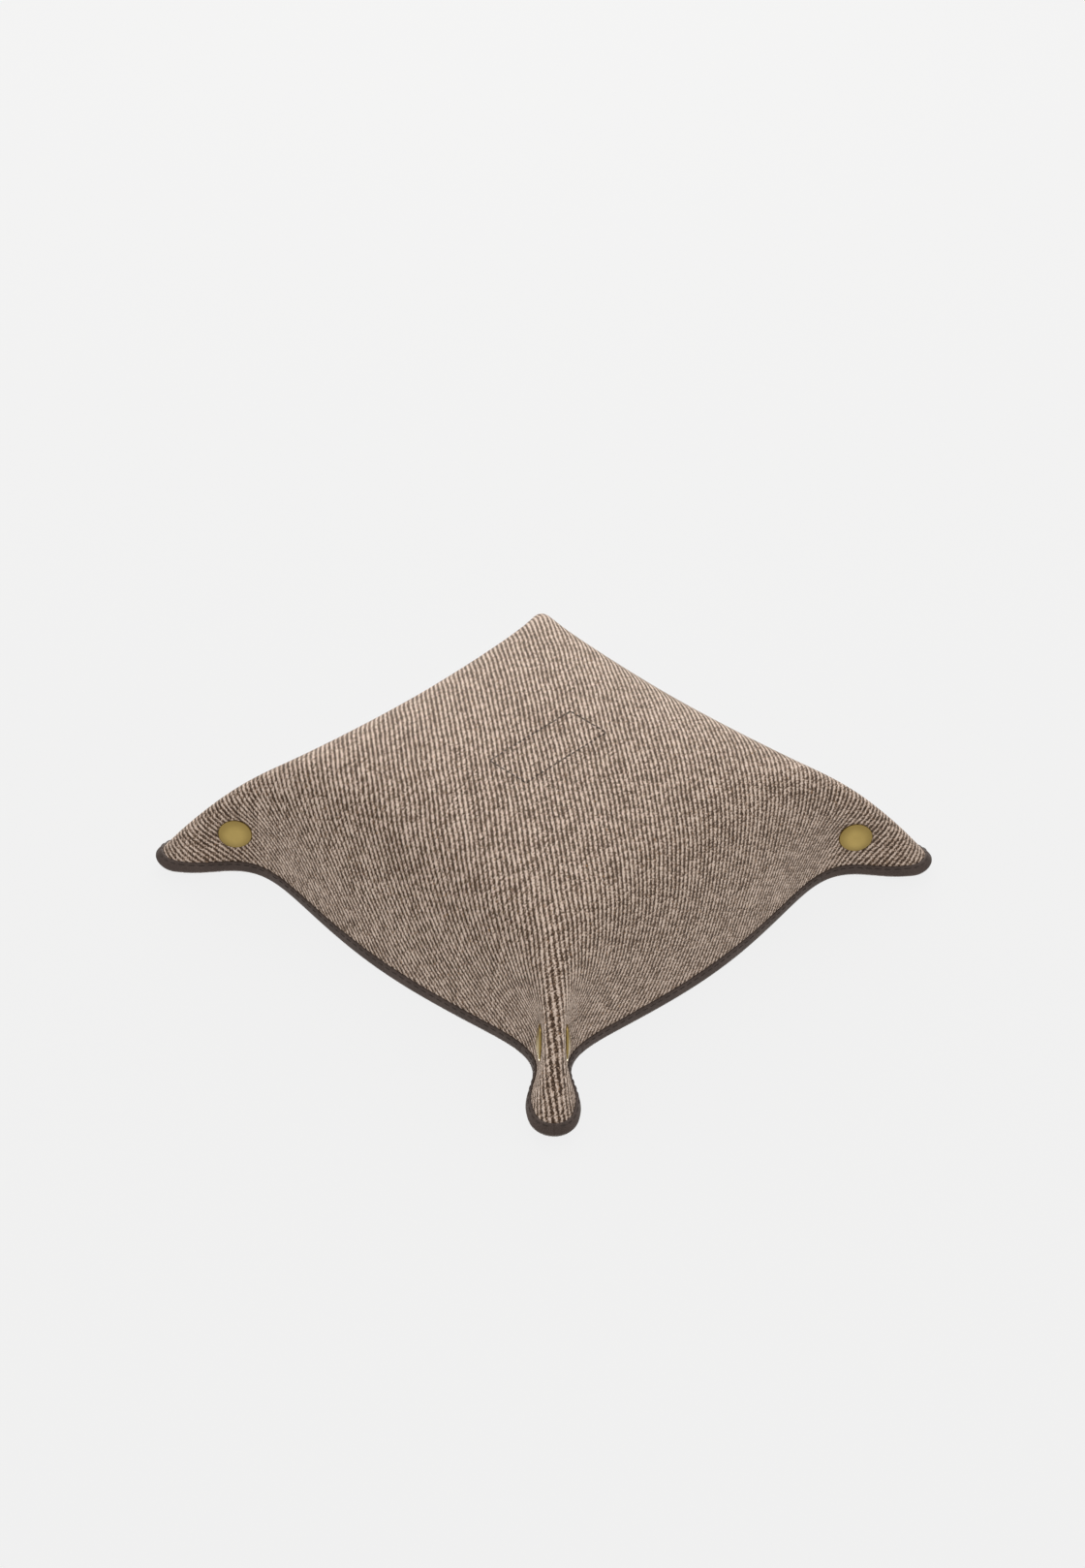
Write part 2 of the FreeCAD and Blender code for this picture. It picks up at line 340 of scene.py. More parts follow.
def rested_sheet():
    """Middle surface of the whole sheet at rest: a quarter on finer and finer grids, then mirrored."""
    rest = None
    for count, rounds in SIMULATION_GRIDS:
        energy, start = elastic(count)
        if rest is not None:
            line = np.linspace(0, len(rest) - 1, count) + border_rows
            start = between(edged(rest), *np.meshgrid(line, line, indexing="ij"))
        rest = settle(energy, start.ravel(), rounds).reshape(count, count, 3)
    rest = np.concatenate([rest[:0:-1] * [-1, 1, 1], rest])
    return edged(np.concatenate([rest[:, :0:-1] * [1, -1, 1], rest], 1))


rest_middle = rested_sheet()
grid_step = half_flat / (SIMULATION_GRIDS[-1][0] - 1)
grid_middle = len(rest_middle) // 2


def offset_face(distance):
    """The middle surface moved along its own normal, with the two halves of each corner kept apart."""
    normal = np.cross(np.gradient(rest_middle, axis=0), np.gradient(rest_middle, axis=1))
    face = rest_middle + distance * normal / np.linalg.norm(normal, axis=-1, keepdims=True)
    line = (np.arange(len(rest_middle)) - grid_middle) * grid_step
    u, v = np.meshgrid(line, line, indexing="ij")
    side = np.sign(np.abs(u) - np.abs(v))
    from_plane = side * (np.abs(face[..., 0]) - np.abs(face[..., 1])) / root_two
    short = np.where(side == 0, 0, np.maximum(least_gap - from_plane, 0)) / root_two
    face[..., 0] += np.sign(face[..., 0]) * side * short
    face[..., 1] -= np.sign(face[..., 1]) * side * short
    return face


outer_face = offset_face(-sheet_thickness / 2)
inner_face = offset_face(sheet_thickness / 2)
lowest = outer_face[..., 2].min()
outer_face[..., 2] -= lowest
inner_face[..., 2] -= lowest


def sampled(face, u, v):
    """Place on a face of the sheet of flat coordinates in millimetres."""
    return between(face, u / grid_step + grid_middle, v / grid_step + grid_middle)


def base_lift(u, v):
    """How far the stiffener raises the lining: its thickness, easing to nothing just past its edge."""
    inside = stiffener_half + stiffener_past - np.maximum(abs(u), abs(v))
    return stiffener_thickness * smooth(inside / stiffener_ease)


def folded(u, v, z, lift=False):
    """Place on the folded tray of a point of the flat sheet: straight between the outer and inner faces."""
    u, v, z = np.broadcast_arrays(np.asarray(u, float), np.asarray(v, float), np.asarray(z, float))
    low = sampled(outer_face, u, v)
    high = sampled(inner_face, u, v)
    place = low + (high - low) * (z / sheet_thickness)[..., None]
    if lift:
        place[..., 2] += base_lift(u, v)
    return place


def sheet_normal(u, v, z, lift=False):
    """Direction square to the folded sheet, toward the lining: across the steps along u and along v."""
    near = 0.4
    along_u = folded(u + near, v, z, lift) - folded(u - near, v, z, lift)
    along_v = folded(u, v + near, z, lift) - folded(u, v - near, z, lift)
    normal = np.cross(along_u, along_v)
    return normal / np.linalg.norm(normal, axis=-1, keepdims=True)


# Meshes of the pieces

flat_map_unit = 10


def outward(mesh):
    """Turns the faces of closed shapes outward."""
    work = bmesh.new()
    work.from_mesh(mesh)
    bmesh.ops.recalc_face_normals(work, faces=work.faces)
    work.to_mesh(mesh)
    work.free()


def new_piece(name, points, faces, flat, material, normals=None):
    """Mesh object at the origin from points in millimetres, with a map of flat coordinates in centimetres.

    Points that no face uses are left out. Without normals, the faces of the closed shapes turn outward.
    """
    used = np.unique(np.concatenate(faces))
    if len(used) < len(points):
        renumber = np.zeros(len(points), int)
        renumber[used] = np.arange(len(used))
        faces = [renumber[face].tolist() for face in faces]
    mesh = bpy.data.meshes.new(name)
    mesh.from_pydata((points[used] * MM).tolist(), [], faces)
    mesh.polygons.foreach_set("use_smooth", np.ones(len(mesh.polygons), bool))
    corner = np.empty(len(mesh.loops), np.int32)
    mesh.loops.foreach_get("vertex_index", corner)
    flat_map = mesh.uv_layers.new(name="flat").data
    flat_map.foreach_set("uv", (flat[used][corner] / flat_map_unit).astype(np.float32).ravel())
    mesh.materials.append(material)
    mesh.update()
    if normals is None:
        outward(mesh)
    else:
        mesh.normals_split_custom_set_from_vertices(normals[used].tolist())
    piece = bpy.data.objects.new(name, mesh)
    bpy.context.scene.collection.objects.link(piece)
    return piece


def grid_faces(index, flip=False):
    """Faces between neighbours in a grid of point numbers: four-sided, or three where one repeats."""
    quads = np.stack([index[:-1, :-1], index[1:, :-1], index[1:, 1:], index[:-1, 1:]], -1).reshape(-1, 4)
    if flip:
        quads = quads[:, ::-1]
    faces = [list(dict.fromkeys(quad)) for quad in quads.tolist()]
    return [face for face in faces if len(face) > 2]


def shell(name, u, v, z_low, z_high, material, lift=False, pole=False):
    """Closed thin sheet over a grid of flat points, between two heights through the sheet's thickness.

    The two faces are the folded grid at each height and the four borders join them. With a pole, the first
    row of the grid is a single point.
    """
    flat = np.stack([u, v], -1)
    down = flat[-1, 1] - flat[0, 1]
    sideways = flat[-1, 1] - flat[-1, 0]
    flip = bool(down[0] * sideways[1] - down[1] * sideways[0] < 0)
    count = u.size
    index = np.arange(count).reshape(u.shape)
    if pole:
        index[0, :] = index[0, 0]
    border = np.concatenate([index[:, 0], index[-1, 1:], index[-2::-1, -1], index[0, -2:0:-1]])
    border = border[np.concatenate([[True], np.diff(border) != 0])]
    ring = np.append(border, border[0])
    sides = np.stack([ring, ring + count], 0)
    faces = grid_faces(index, not flip) + grid_faces(index + count, flip) + grid_faces(sides, not flip)
    u, v = u.ravel(), v.ravel()
    points = np.concatenate([folded(u, v, z_low, lift), folded(u, v, z_high, lift)])
    normals = np.concatenate([-sheet_normal(u, v, z_low, lift), sheet_normal(u, v, z_high, lift)])
    flat = np.tile(flat.reshape(-1, 2), (2, 1))
    return new_piece(name, points, faces, flat, material, normals)


def base_patch(half, points):
    """Flat points of a square about the middle of the sheet."""
    line = np.linspace(-half, half, points)
    return np.meshgrid(line, line, indexing="ij")


def inside_patch(rows=41, columns=25):
    """Flat points of the leather patch: rows across it, shorter where its corners are rounded.

    Half a row is the straight part and the root of the corner's radius squared less the way past it squared.
    """
    v = patch_width / 2 * np.sin(np.linspace(-1, 1, columns) * np.pi / 2)
    past = np.maximum(np.abs(v) - patch_width / 2 + patch_radius, 0)
    half = patch_length / 2 - patch_radius + np.sqrt(patch_radius ** 2 - past ** 2)
    return np.linspace(-1, 1, rows)[:, None] * half, np.repeat(v[None, :], rows, 0)


def wall_patch(steps, foot_points=13, height_points=45, length_points=91):
    """Flat points of a wall: rows parallel to the base fold, from inside the base out to the rim."""
    foot = np.linspace(wall_foot, half_base, foot_points)
    height = np.linspace(half_base, cloth_half, height_points)
    u = np.concatenate([foot, height[1:]])
    reach = np.where(u < half_base, u, half_base + (u - half_base) * math.tan(panel_cut))
    across = np.linspace(-1, 1, length_points)
    return quarter(np.repeat(u[:, None], length_points, 1), reach[:, None] * across, steps)


def outline_distance(angle):
    """Distance from a base corner to the sheet's rounded outline, in a direction from along the base's side.

    It is the straight rim's distance over the cosine until the rounded corner begins, and then the far
    crossing with the corner's circle, whose middle lies on the diagonal.
    """
    straight = (cloth_half - half_base) / np.cos(angle)
    middle = (cloth_half - cloth_radius - half_base) * root_two
    turned = diagonal_angle - angle
    arc = middle * np.cos(turned) + np.sqrt(np.maximum(cloth_radius ** 2 - (middle * np.sin(turned)) ** 2, 0))
    begins = math.atan2(cloth_half - cloth_radius - half_base, cloth_half - half_base)
    return np.where(angle < begins, straight, arc)


def ear_patch(steps, side, points=61, crowding=0.7):
    """Flat points of half a corner: rays from the base corner, closer together toward the ridge."""
    share = np.linspace(0, 1, points)
    angle = panel_cut + (diagonal_angle - panel_cut) * ((1 + crowding) * share - crowding * share ** 2)
    reach = share[:, None] * outline_distance(angle)
    u = half_base + reach * np.cos(angle)
    v = half_base + reach * np.sin(angle)
    return quarter(u, side * v, steps)


def corner_leaf(steps, first, length, low, high, rows=31, columns=21, tips=(0.06, 0.97)):
    """Flat points of a leaf on a corner's diagonal, hidden inside the sheet until the corner opens.

    It starts at the flat point (first, first). Its width goes as the root of half a sine along the diagonal.
    """
    share = np.linspace(0, 1, rows)
    along = first * root_two + length * share[:, None]
    swell = np.sin(np.pi * np.clip(share, *tips)) ** 0.5
    aside = np.linspace(low, high, columns) * swell[:, None]
    return quarter((along + aside) / root_two, (along - aside) / root_two, steps)


# Materials

# Sockets of a Mix node for colours: its share, its two colours and its result
MIX_SHARE, MIX_FIRST, MIX_SECOND, MIX_RESULT = 0, 6, 7, 2

# Twill: its ribs lie almost along the diagonal from the front right corner to the back left one
twill_pitch = 1.688
twill_lean = 0.109
twill_turn = -math.atan2(1 - twill_lean, 1 + twill_lean)
bead_length = 1.15
bead_lean = 0.55
bead_shift = 0.37
twill_contrast = 1.68
twill_darker = -3.42
TWILL_TONES = ((0.05, (0.046, 0.025, 0.014)), (0.5, (0.282, 0.195, 0.141)), (0.97, (0.70, 0.58, 0.505)))


def feed(node, links):
    """Links a node's inputs from sockets, or sets them to values."""
    for key, value in links.items():
        if isinstance(value, bpy.types.NodeSocket):
            node.id_data.links.new(value, node.inputs[key])
        else:
            node.inputs[key].default_value = value


def principled(name, values):
    """Material with a Principled shader whose even values are set on its own sockets."""
    material = bpy.data.materials.new(name)
    material.use_nodes = True
    shader = material.node_tree.nodes["Principled BSDF"]
    feed(shader, values)
    return material, material.node_tree, shader


def add(tree, kind, links=None, **settings):
    """Node with its properties set and its inputs fed."""
    made = tree.nodes.new("ShaderNode" + kind)
    for key, value in settings.items():
        setattr(made, key, value)
    feed(made, links or {})
    return made


def math_node(tree, operation, *inputs, clamp=False):
    """Result of a Math node on sockets or numbers."""
    return add(tree, "Math", dict(enumerate(inputs)), operation=operation, use_clamp=clamp).outputs[0]


def summed(tree, value, *patterns):
    """A value with patterns added to it, each times its own share."""
    for pattern, share in patterns:
        value = math_node(tree, "MULTIPLY_ADD", pattern, share, value)
    return value


def wave(tree, turns):
    """Sine between 0 and 1, once for every whole turn."""
    swing = math_node(tree, "SINE", math_node(tree, "MULTIPLY", turns, 2 * math.pi))
    return math_node(tree, "MULTIPLY_ADD", swing, 0.5, 0.5)


def noise(tree, place, scale, detail, dimensions="3D", **more):
    """Value of a noise at a place."""
    links = {"Vector": place, "Scale": scale, "Detail": detail, **more}
    return add(tree, "TexNoise", links, noise_dimensions=dimensions).outputs[0]


def ranged(tree, value, low, high, first=0.0, last=1.0, way="LINEAR"):
    """Value that goes from first to last as another goes from low to high, and stays there beyond."""
    links = {"Value": value, "From Min": low, "From Max": high, "To Min": first, "To Max": last}
    return add(tree, "MapRange", links, interpolation_type=way).outputs[0]


def blend_colours(tree, share, first, second):
    """Colour between two colours by a share. A colour is a socket or three numbers."""
    ends = [end if isinstance(end, bpy.types.NodeSocket) else (*end, 1) for end in (first, second)]
    made = add(tree, "Mix", {MIX_SHARE: share, MIX_FIRST: ends[0], MIX_SECOND: ends[1]}, data_type="RGBA")
    return made.outputs[MIX_RESULT]


def relief(tree, height, strength, distance):
    """Normal of a surface with the relief of a height."""
    return add(tree, "Bump", {"Height": height, "Strength": strength, "Distance": distance}).outputs[0]


def flat_millimetres(tree, turned=0.0):
    """The piece's flat coordinates in millimetres, turned in the plane of the sheet."""
    mapped = add(tree, "UVMap", uv_map="flat").outputs[0]
    links = {"Vector": mapped, "Rotation": (0, 0, turned), "Scale": (flat_map_unit,) * 3}
    return add(tree, "Mapping", links).outputs[0]


def grain_group():
    """Grain shared by the leathers: small rounded cells with creases between them, and a slow tone."""
    group = bpy.data.node_groups.new("leather_grain", "ShaderNodeTree")
    group.interface.new_socket("Place", in_out="INPUT", socket_type="NodeSocketVector")
    group.interface.new_socket("Cells per mm", in_out="INPUT", socket_type="NodeSocketFloat")
    start = group.nodes.new("NodeGroupInput")
    end = group.nodes.new("NodeGroupOutput")
    place = start.outputs["Place"]
    bent = add(group, "TexNoise", {"Vector": place, "Scale": 0.6, "Detail": 2.0}).outputs["Color"]
    bent = add(group, "VectorMath", {0: bent, "Scale": 0.7}, operation="SCALE").outputs[0]
    bent = add(group, "VectorMath", {0: place, 1: bent}, operation="ADD").outputs[0]
    cells = add(group, "TexVoronoi", {"Vector": bent, "Scale": start.outputs["Cells per mm"]},
                feature="DISTANCE_TO_EDGE").outputs["Distance"]
    crease = ranged(group, cells, 0.0, 0.22, first=1.0, last=0.0, way="SMOOTHSTEP")
    fine = noise(group, place, scale=5.0, detail=4.0)
    height = math_node(group, "SUBTRACT", math_node(group, "MULTIPLY", fine, 0.25), crease)
    tone = noise(group, place, scale=0.09, detail=5.0, Roughness=0.6)
    for name, value in (("Height", height), ("Crease", crease), ("Tone", tone)):
        group.interface.new_socket(name, in_out="OUTPUT", socket_type="NodeSocketFloat")
        group.links.new(value, end.inputs[name])
    return group


def leather(name, dark, light, cells, rough, depth, crease_depth=0.45):
    """Finished leather: grain for its relief and painted shade in its creases, and a slow change of tone."""
    material, tree, shader = principled(name, {"Specular IOR Level": 0.42})
    made = add(tree, "Group", {"Place": flat_millimetres(tree), "Cells per mm": cells}, node_tree=grain)
    tone = ranged(tree, made.outputs["Tone"], 0.3, 0.7)
    colour = blend_colours(tree, tone, dark, light)
    # Painted shade: the colour darkens in the creases of the grain
    crease_shade = math_node(tree, "MULTIPLY", made.outputs["Crease"], crease_depth)
    colour = blend_colours(tree, crease_shade, colour, [crease_depth * part for part in dark])
    roughness = summed(tree, rough, (made.outputs["Crease"], 0.15), (tone, -0.08))
    normal = relief(tree, made.outputs["Height"], strength=depth, distance=0.00012)
    feed(shader, {"Base Color": colour, "Roughness": roughness, "Normal": normal})
    return material


def wool_twill():
    """Brushed wool twill: slanting ribs of cream and brown yarn, broken into beads, and a heather of flecks.

    A rib's brightness is a sine across it, broken along its length by the beads, whose places shift from rib
    to rib, and by noise stretched along the yarn. Each bead has a tone of its own.
    """
    even = {"Roughness": 0.95, "Specular IOR Level": 0.15, "Sheen Weight": 0.26, "Sheen Roughness": 0.55,
            "Sheen Tint": (1.0, 0.9, 0.82, 1)}
    material, tree, shader = principled("wool_twill", even)
    place = flat_millimetres(tree, twill_turn)
    parts = add(tree, "SeparateXYZ", {0: place}).outputs
    slow = noise(tree, place, scale=0.05, detail=2.0)
    quick = noise(tree, place, scale=0.8, detail=2.0)
    across = summed(tree, parts[0], (slow, 1.6), (quick, 0.9))
    ribs = math_node(tree, "DIVIDE", across, twill_pitch)
    rib = wave(tree, ribs)
    rib_number = math_node(tree, "FLOOR", ribs)
    lean = summed(tree, parts[1], (across, bead_lean), (quick, 1.4))
    along = math_node(tree, "DIVIDE", lean, bead_length)
    along = math_node(tree, "ADD", along, math_node(tree, "MULTIPLY", rib_number, bead_shift))
    bead = wave(tree, along)
    bead_number = math_node(tree, "FLOOR", along)
    cell = add(tree, "CombineXYZ", {0: rib_number, 1: bead_number}).outputs[0]
    tone = add(tree, "TexWhiteNoise", {"Vector": cell}).outputs[0]
    stretched = add(tree, "Mapping", {"Vector": place, "Scale": (2.1, 1.2, 1)}).outputs[0]
    fleck = noise(tree, stretched, scale=1.0, detail=3.0, Roughness=0.7)
    broad = noise(tree, stretched, scale=0.42, detail=2.0)
    fuzz = noise(tree, place, scale=3.2, detail=2.0)
    patchy = noise(tree, place, scale=0.12, detail=3.0)
    value = summed(tree, 0.0, (rib, 0.62), (bead, 0.26), (fleck, 1.9), (fuzz, 0.9), (patchy, 0.3),
                   (tone, 0.34), (broad, 0.25))
    ramp = add(tree, "ValToRGB", {0: math_node(tree, "MULTIPLY_ADD", value, twill_contrast, twill_darker)})
    stops = ramp.color_ramp.elements
    stops.new(TWILL_TONES[1][0])
    for stop, (position, colour) in zip(stops, TWILL_TONES):
        stop.position = position
        stop.color = (*colour, 1)
    speck = noise(tree, stretched, scale=0.62, detail=1.0, dimensions="4D", W=3.0)
    speck = math_node(tree, "MULTIPLY_ADD", speck, 6.0, -3.9, clamp=True)
    heather = blend_colours(tree, speck, ramp.outputs[0], (0.36, 0.20, 0.095))
    height = summed(tree, rib, (bead, 0.3), (fleck, 0.6), (fuzz, 0.4))
    feed(shader, {"Base Color": heather, "Normal": relief(tree, height, strength=0.85, distance=0.00045)})
    return material


def waxed_thread():
    """Dark waxed thread: two twisted plies show as slanting bands along each stitch."""
    material, tree, shader = principled("waxed_thread", {"Roughness": 0.6, "Specular IOR Level": 0.3})
    links = {"Vector": flat_millimetres(tree), "Scale": 1.4, "Distortion": 0.5}
    bands = add(tree, "TexWave", links, bands_direction="DIAGONAL").outputs[1]
    colour = blend_colours(tree, bands, (0.020, 0.013, 0.010), (0.045, 0.031, 0.025))
    feed(shader, {"Base Color": colour, "Normal": relief(tree, bands, strength=0.5, distance=0.0001)})
    return material


def antique_brass():
    """Antiqued brass: olive metal with a slow patina, painted shade toward a cap's rim, and a fine matt
    tooth.
    """
    material, tree, shader = principled("antique_brass", {"Metallic": 1.0})
    place = add(tree, "TexCoord").outputs["Object"]
    tooth = noise(tree, place, scale=2600.0, detail=2.0)
    aged = ranged(tree, noise(tree, place, scale=150.0, detail=4.0, Roughness=0.5), 0.3, 0.7)
    from_middle = add(tree, "SeparateXYZ", {0: flat_millimetres(tree)}).outputs[0]
    # Painted shade: the colour darkens toward the cap's rim, mixed with the slow patina
    rim = ranged(tree, from_middle, 2.0, 6.2, way="SMOOTHSTEP")
    patina_and_rim_shade = summed(tree, 0.0, (rim, 0.75), (aged, 0.25))
    colour = blend_colours(tree, patina_and_rim_shade, (0.46, 0.345, 0.122), (0.27, 0.195, 0.066))
    roughness = summed(tree, 0.27, (tooth, 0.06))
    normal = relief(tree, tooth, strength=0.05, distance=0.00003)
    feed(shader, {"Base Color": colour, "Roughness": roughness, "Normal": normal})
    return material


def board():
    """Bonded leather board: a pale brown with pressed flecks."""
    material, tree, shader = principled("stiffener_board", {"Roughness": 0.85})
    fleck = noise(tree, add(tree, "TexCoord").outputs["Object"], scale=900.0, detail=4.0)
    feed(shader, {"Base Color": blend_colours(tree, fleck, (0.36, 0.27, 0.19), (0.52, 0.43, 0.33))})
    return material


grain = grain_group()
twill_cloth = wool_twill()
lining_leather = leather("lining_leather", dark=(0.030, 0.018, 0.013), light=(0.062, 0.038, 0.028),
                         cells=1.3, rough=0.46, depth=0.30)
binding_leather = leather("binding_leather", dark=(0.042, 0.026, 0.021), light=(0.072, 0.048, 0.040),
                          cells=1.6, rough=0.55, depth=0.16)
patch_leather = leather("patch_leather", dark=(0.042, 0.025, 0.017), light=(0.085, 0.052, 0.036),
                        cells=1.1, rough=0.44, depth=0.30)
thread = waxed_thread()
brass = antique_brass()
stiffener_board = board()


# Cloth and lining

# Heights, material, slot and whether the stiffener lifts it, for each layer
cover_top = cover_thickness - layer_gap
lining_foot = cover_thickness + layer_gap
stiffener_top = cover_thickness + stiffener_thickness - layer_gap
patch_foot = sheet_thickness + layer_gap
patch_top = sheet_thickness + patch_thickness
LAYERS = {"cover": (0.0, cover_top, twill_cloth, "wool_twill", False),
          "lining": (lining_foot, sheet_thickness, lining_leather, "lining_leather", True),
          "stiffener": (lining_foot, stiffener_top, stiffener_board, "stiffener_board", False),
          "patch": (patch_foot, patch_top, patch_leather, "patch_leather", True)}


def wall_body(steps):
    """Body of a wall."""
    return f"{WALLS[steps]}_wall"


def ear_body(steps, side):
    """Body of the half corner of a wall on the side of the next wall (1) or of the one before (-1)."""
    return f"{wall_body(steps)}_{WALLS[(steps + side) % 4]}_ear"


def bend_with_wall(piece, steps):
    """Finds where two points on the wall's middle line, just inside the base fold and on it, lie on the
    folded tray, which nothing uses, and bakes the piece's transform into its mesh.
    """
    u, v = quarter(np.array([wall_bend_start, half_base]), np.zeros(2), steps)
    start, end = folded(u, v, 0) * MM
    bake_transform(piece)


def bend_with_ear(piece, steps, side):
    """Finds where two points across the valley, from the wall's own edge, lie on the folded tray, which
    nothing uses, and bakes the piece's transform into its mesh.
    """
    cosine, sine = math.cos(panel_cut), math.sin(panel_cut)
    u = half_base + valley_reach * cosine - valley_sides * sine
    v = half_base + valley_reach * sine + valley_sides * cosine
    start, end = folded(*quarter(u, side * v, steps), 0) * MM
    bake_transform(piece)


def layer_sheet(body, layer, u, v, pole=False):
    """A body's stretched patch of a layer, with the flat size of its grid, in place of a CAD node."""
    z_low, z_high, material, slot, lift = LAYERS[layer]
    piece = shell(f"{body}_{layer}_sheet", u, v, z_low, z_high, material, lift, pole)
    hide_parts(f"{body}_{layer}")
    return piece


def layer_leaf(name, layer, u, v, z_low, z_high):
    """A hidden leaf of a layer, of a flat length and width."""
    material, slot = LAYERS[layer][2:4]
    piece = shell(f"{name}_{layer}_leaf", u, v, z_low, z_high, material)
    return piece


for layer in ("cover", "lining"):
    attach(layer_sheet("base", layer, *base_patch(wall_foot, points=61)), "base")
    for steps in range(4):
        bend_with_wall(layer_sheet(wall_body(steps), layer, *wall_patch(steps)), steps)
        for side in (1, -1):
            piece = layer_sheet(ear_body(steps, side), layer, *ear_patch(steps, side), pole=True)
            bend_with_ear(piece, steps, side)

for steps in range(4):
    for layer in ("cover", "lining"):
        z_low, z_high = LAYERS[layer][:2]
        u, v = corner_leaf(steps, base_leaf_start, base_leaf_length, -base_leaf_half, base_leaf_half)
        piece = layer_leaf(f"base_{WALLS[steps]}_corner", layer, u, v, z_high - base_leaf_depths[0],
                           z_high - base_leaf_depths[1])
        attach(piece, "base")
        for side, level in ear_leaf_levels.items():
            ridge = steps if side > 0 else steps - 1
            low, high = sorted((-side * ear_leaf_halves[0], side * ear_leaf_halves[1]))
            u, v = corner_leaf(ridge, ear_leaf_start, ear_leaf_length, low, high)
            piece = layer_leaf(ear_body(steps, side), layer, u, v, z_low + level,
                               z_low + level + ear_leaf_thickness)
            bend_with_ear(piece, steps, side)

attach(layer_sheet("base", "stiffener", *base_patch(stiffener_half, points=41)), "base")
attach(layer_sheet("inside", "patch", *inside_patch()), "base")


# Binding and its stitches

rim_cut = half_base + (half_flat - half_base) * math.tan(panel_cut)
rim_end = rim_straight + corner_radius * diagonal_angle
stitch_pitch = 3.4
stitch_length = 2.7
stitch_radius = 0.19
stitch_inset = 3.5
stitch_sunk = 0.08

# The strip's rounded edge: distances inward, each with the share of the thickness that it reaches
BINDING_EDGE = ((0, 0.35), (0.25, 0.75), (0.75, 0.97), (1.5, 1.0))


def rim_point(along, inward):
    """Flat point a distance inward from the sheet's edge, at a distance along it from the middle of a wall.

    Past the straight part the edge is a quarter circle about the rounded corner's middle.
    """
    turned = np.clip((np.abs(along) - rim_straight) / corner_radius, 0, diagonal_angle)
    radius = corner_radius - inward
    straight = np.minimum(np.abs(along), rim_straight)
    u = rim_straight + radius * np.cos(turned)
    v = straight + radius * np.sin(turned)
    return u, v * np.sign(along)


def binding_profile(fold_points=11, fold_reach=1.5, flat_start=2.2, tuck=0.6):
    """Closed outline of the folded strip as distance inward and height: out round the raw edge and back.

    The fold is half an ellipse about the middle of the sheet's thickness.
    """
    thick, top, wide = binding_thickness, sheet_thickness, binding_width
    bend = np.linspace(-np.pi / 2, np.pi / 2, fold_points)
    inward = fold_reach - fold_reach * np.cos(bend)
    fold = np.stack([inward, top / 2 + (top / 2 + thick) * np.sin(bend)], -1)
    edge = [(wide - inset, -share * thick) for inset, share in BINDING_EDGE]
    lower = np.array([(wide, -layer_gap), *edge, (flat_start, -thick)])
    upper = np.array([1, -1]) * lower[::-1] + np.array([0, top])
    inside = np.array([[wide - tuck, top], [thick, top], [thick, 0], [wide - tuck, 0]])
    return np.concatenate([lower, fold, upper, inside])


def strip(name, start, end, steps, rows):
    """Binding strip: the profile carried along the edge between two distances from a wall's middle."""
    profile = binding_profile()
    ring = np.concatenate([profile, profile[:1]])
    along, inward = np.meshgrid(np.linspace(start, end, rows), ring[:, 0], indexing="ij")
    z = np.broadcast_to(ring[:, 1], along.shape)
    u, v = quarter(*rim_point(along, inward), steps)
    count = len(profile)
    index = np.arange(rows)[:, None] * count + np.arange(count + 1) % count
    points = folded(u, v, z)[:, :-1].reshape(-1, 3)
    girth = np.concatenate([[0], np.cumsum(np.hypot(*np.diff(profile, axis=0).T))])
    flat = np.stack([along[:, :-1], np.broadcast_to(girth, (rows, count))], -1).reshape(-1, 2)
    faces = grid_faces(index, start > end) + [index[0, :-1].tolist()[::-1], index[-1, :-1].tolist()]
    return new_piece(name, points, faces, flat, binding_leather)


def stitch_row(name, middles, place, face, length, radius, rings=7, sides=6):
    """Row of stitches, each a short arched tube about its middle on the line.

    place(along, sideways, out) gives points on the folded tray. A ring is carried along each stitch,
    shrinking as the root of one less the sixth power of the way to an end, and sinking by the fourth power.
    """
    least_swell, rise, sink = 0.02, 0.55, 0.9
    way = np.linspace(-1, 1, rings)[None, :, None]
    around = np.arange(sides) * np.pi / (sides / 2)
    swell = np.sqrt(np.maximum(1 - way ** 6, least_swell))
    along = middles[:, None, None] + way * length / 2
    sideways = radius * swell * np.cos(around)
    out = radius * (swell * np.sin(around) + rise - sink * way ** 4)
    along, sideways, out = np.broadcast_arrays(along, sideways, out)
    points = place(along, sideways, out * face).reshape(-1, 3)
    index = np.arange(along.size).reshape(along.shape)
    closed = np.concatenate([index, index[:, :, :1]], 2)
    corners = [closed[:, :-1, :-1], closed[:, 1:, :-1], closed[:, 1:, 1:], closed[:, :-1, 1:]]
    ends = np.concatenate([index[:, 0, ::-1], index[:, -1]])
    faces = np.stack(corners, -1).reshape(-1, 4).tolist() + ends.tolist()
    flat = np.stack([along, np.broadcast_to(around, along.shape) * radius], -1).reshape(-1, 2)
    return new_piece(name, points, faces, flat, thread)


def binding_stitches(name, start, end, steps, face):
    """Stitches through the binding on its outer face (-1) or its inner face (1)."""
    first = np.ceil(min(start, end) / stitch_pitch + 0.5)
    last = np.floor(max(start, end) / stitch_pitch + 0.5)
    above = binding_thickness - stitch_sunk
    level = -above if face < 0 else sheet_thickness + above

    def place(along, sideways, out):
        u, v = quarter(*rim_point(along, stitch_inset + sideways), steps)
        return folded(u, v, level + out)

    return stitch_row(name, np.arange(first, last) * stitch_pitch, place, face, stitch_length, stitch_radius)


